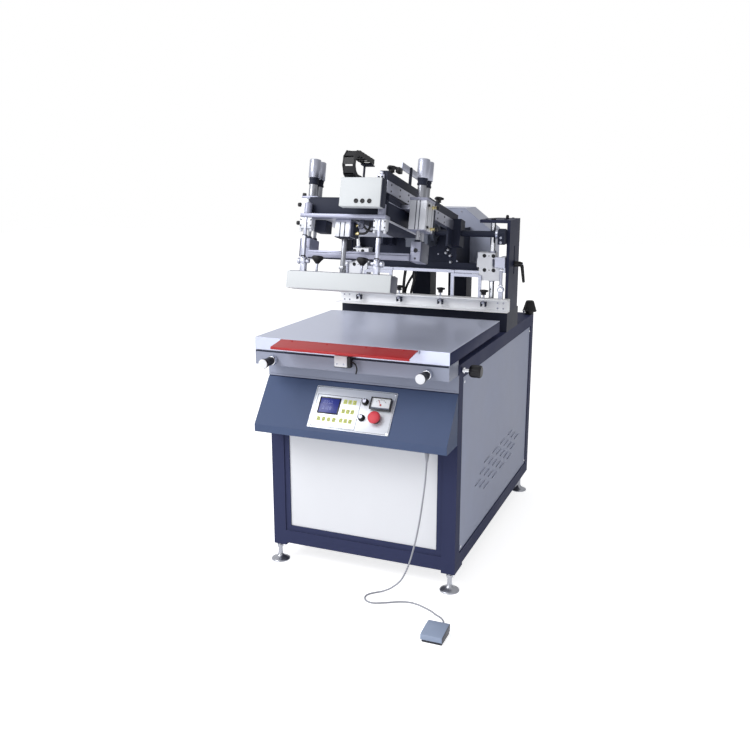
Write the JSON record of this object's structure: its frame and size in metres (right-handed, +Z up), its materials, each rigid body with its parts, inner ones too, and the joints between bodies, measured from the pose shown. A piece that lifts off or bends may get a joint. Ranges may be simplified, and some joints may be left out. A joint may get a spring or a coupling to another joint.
{
  "type": "flatbed screen printer",
  "caption": "Flatbed screen printing machine with a swing-up print head, flat work table, sloped control console, louvred cabinet on levelling feet and a corded foot pedal.",
  "frame": {"origin": "on the floor, under the middle of the machine's outline seen from above, without the cord and pedal", "axes": "+Z up, +Y from the operator's side to the rear columns, +X to the operator's right"},
  "size_m": [0.7895, 1.4745, 1.4867],
  "materials": {
    "frame_paint": "smooth satin powder coat",
    "console_paint": "smooth satin powder coat",
    "panel_paint": "fine-textured satin powder coat",
    "white_paint": "gloss paint",
    "apron_paint": "satin paint",
    "plate": "printed satin aluminium",
    "display": "gloss film",
    "black_plastic": "matt",
    "needle": "matt",
    "stop_red": "gloss",
    "cord_grey": "matt sheath",
    "pedal_grey": "satin paint",
    "pedal_dark": "matt",
    "table_alloy": "fine brushed",
    "machined_steel": "machined",
    "bar_red": "gloss paint",
    "dark_paint": "satin paint",
    "chrome": "polished",
    "silver": "satin anodised",
    "hood_paint": "satin paint",
    "motor_paint": "painted casting",
    "equipment": "satin paint"
  },
  "bodies": {
    "base": {"base_frame": "frame_paint", "side_panel_left": "panel_paint", "side_panel_right": "panel_paint", "front_panel": "white_paint", "rear_panel": "panel_paint", "levelling_feet": "chrome", "front_strip": "apron_paint", "table_apron": "apron_paint", "console_housing": "console_paint", "console_plate": "plate", "display_unit": "display", "meter_body": "black_plastic", "stop_collar": "black_plastic", "cord_gland": "black_plastic", "foot_cord": "cord_grey", "pedal_base": "pedal_dark", "column_beam": "dark_paint", "columns": "dark_paint", "guide_shafts": "chrome", "pivot_bearings": "dark_paint", "drive_pedestal": "dark_paint", "rear_hood": "hood_paint", "lift_gearmotor": "motor_paint", "air_regulator": "black_plastic", "inner_equipment": "equipment"},
    "treadle": {"pedal_treadle": "pedal_grey"},
    "needle": {"meter_needle": "needle"},
    "upper_dial": {"speed_knob_upper": "black_plastic"},
    "lower_dial": {"speed_knob_lower": "black_plastic"},
    "stop": {"stop_button": "stop_red"},
    "cross_stage": {"cross_slide": "machined_steel"},
    "table": {"table_top": "table_alloy", "safety_switch": "white_paint"},
    "bar": {"safety_bar": "bar_red"},
    "side_knob": {"side_adjust_knob": "black_plastic"},
    "front_knob_left": {"front_adjust_knob_left": "black_plastic"},
    "front_knob_right": {"front_adjust_knob_right": "black_plastic"},
    "holder": {"frame_holder": "white_paint", "slider_blocks": "white_paint", "holder_hangers": "silver"},
    "lever": {"clamp_lever": "black_plastic"},
    "screw_1": {"clamp_screw_1": "black_plastic"},
    "screw_2": {"clamp_screw_2": "black_plastic"},
    "screw_3": {"clamp_screw_3": "black_plastic"},
    "screw_4": {"clamp_screw_4": "black_plastic"},
    "head": {"head_frame": "dark_paint", "guide_rails": "silver", "sensor_rail": "silver", "control_box": "white_paint", "energy_chain": "black_plastic", "pivot_shaft": "dark_paint"},
    "carriage": {"carriage": "dark_paint", "press_cylinders": "white_paint", "air_cylinder": "white_paint", "air_hoses": "black_plastic"},
    "flood": {"cylinder_caps": "silver", "flood_bar": "silver"},
    "squeegee": {"squeegee_holder": "white_paint"},
    "knob_left": {"holder_knob_left": "black_plastic"},
    "knob_right": {"holder_knob_right": "black_plastic"}
  },
  "joints": [
    {"name": "head_lift", "type": "hinge", "parent": "base", "child": "head", "pos_m": [-0.0265, 0.14224, 1.187], "axis": [1, 0, 0], "range_deg": [0, 13]},
    {"name": "print_stroke", "type": "slide", "parent": "head", "child": "carriage", "axis": [0, 0.9744, -0.225], "range_m": [0, 0.4]},
    {"name": "flood_press", "type": "slide", "parent": "carriage", "child": "flood", "axis": [0, -0.225, -0.9744], "range_m": [0, 0.04]},
    {"name": "squeegee_press", "type": "slide", "parent": "carriage", "child": "squeegee", "axis": [0, -0.225, -0.9744], "range_m": [0, 0.012]},
    {"name": "holder_knob_left_turn", "type": "hinge", "parent": "squeegee", "child": "knob_left", "pos_m": [-0.1135, -0.60939, 1.1409], "axis": [0, 0.225, 0.9744], "range_deg": [-360, 360]},
    {"name": "holder_knob_right_turn", "type": "hinge", "parent": "squeegee", "child": "knob_right", "pos_m": [0.0425, -0.60939, 1.1409], "axis": [0, 0.225, 0.9744], "range_deg": [-360, 360]},
    {"name": "holder_height", "type": "slide", "parent": "base", "child": "holder", "axis": [0, 0, 1], "range_m": [-0.01, 0.035]},
    {"name": "lock_lever_turn", "type": "hinge", "parent": "holder", "child": "lever", "pos_m": [0.326, 0.24224, 1.067], "axis": [1, 0, 0], "range_deg": [-60, 60]},
    {"name": "clamp_1_travel", "type": "slide", "parent": "holder", "child": "screw_1", "axis": [0, 0, 1], "range_m": [-0.012, 0.008]},
    {"name": "clamp_2_travel", "type": "slide", "parent": "holder", "child": "screw_2", "axis": [0, 0, 1], "range_m": [-0.012, 0.008]},
    {"name": "clamp_3_travel", "type": "slide", "parent": "holder", "child": "screw_3", "axis": [0, 0, 1], "range_m": [-0.012, 0.008]},
    {"name": "clamp_4_travel", "type": "slide", "parent": "holder", "child": "screw_4", "axis": [0, 0, 1], "range_m": [-0.012, 0.008]},
    {"name": "table_x", "type": "slide", "parent": "base", "child": "cross_stage", "axis": [1, 0, 0], "range_m": [-0.008, 0.008]},
    {"name": "side_knob_turn", "type": "hinge", "parent": "base", "child": "side_knob", "pos_m": [0.326, -0.44276, 0.787], "axis": [1, 0, 0], "range_deg": [-725, 725]},
    {"name": "table_y", "type": "slide", "parent": "cross_stage", "child": "table", "axis": [0, 1, 0], "range_m": [-0.008, 0.008]},
    {"name": "front_knob_left_turn", "type": "hinge", "parent": "base", "child": "front_knob_left", "pos_m": [-0.3055, -0.56876, 0.795], "axis": [0, 1, 0], "range_deg": [-725, 725]},
    {"name": "front_knob_right_turn", "type": "hinge", "parent": "base", "child": "front_knob_right", "pos_m": [0.2525, -0.56876, 0.795], "axis": [0, 1, 0], "range_deg": [-725, 725]},
    {"name": "safety_bar_press", "type": "hinge", "parent": "table", "child": "bar", "pos_m": [-0.0265, -0.57176, 0.867], "axis": [1, 0, 0], "range_deg": [0, 4], "stiffness_Nm_per_rad": 6, "springref_deg": -11.46},
    {"name": "upper_dial_turn", "type": "hinge", "parent": "base", "child": "upper_dial", "pos_m": [0.0135, -0.51511, 0.66266], "axis": [0, -0.7955, 0.606], "range_deg": [-150, 150]},
    {"name": "lower_dial_turn", "type": "hinge", "parent": "base", "child": "lower_dial", "pos_m": [0.0135, -0.55025, 0.61652], "axis": [0, -0.7955, 0.606], "range_deg": [-150, 150]},
    {"name": "stop_press", "type": "slide", "parent": "base", "child": "stop", "axis": [0, 0.7955, -0.606], "range_m": [0, 0.004], "stiffness_N_per_m": 1500, "springref_m": -0.002},
    {"name": "needle_swing", "type": "hinge", "parent": "base", "child": "needle", "pos_m": [0.0725, -0.51996, 0.6563], "axis": [0, -0.7955, 0.606], "range_deg": [-70, 10], "stiffness_Nm_per_rad": 0.002},
    {"name": "treadle_press", "type": "hinge", "parent": "base", "child": "treadle", "pos_m": [0.3595, -0.74776, 0.022], "axis": [1, 0, 0], "range_deg": [0, 4], "stiffness_Nm_per_rad": 6, "springref_deg": -11.46}
  ],
  "couplings": [
    {"joint": "side_knob_turn", "follows": "table_x", "rad_per_m": 1570.8},
    {"joint": "front_knob_left_turn", "follows": "table_y", "rad_per_m": 1570.8},
    {"joint": "front_knob_right_turn", "follows": "table_y", "rad_per_m": 1570.8}
  ]
}
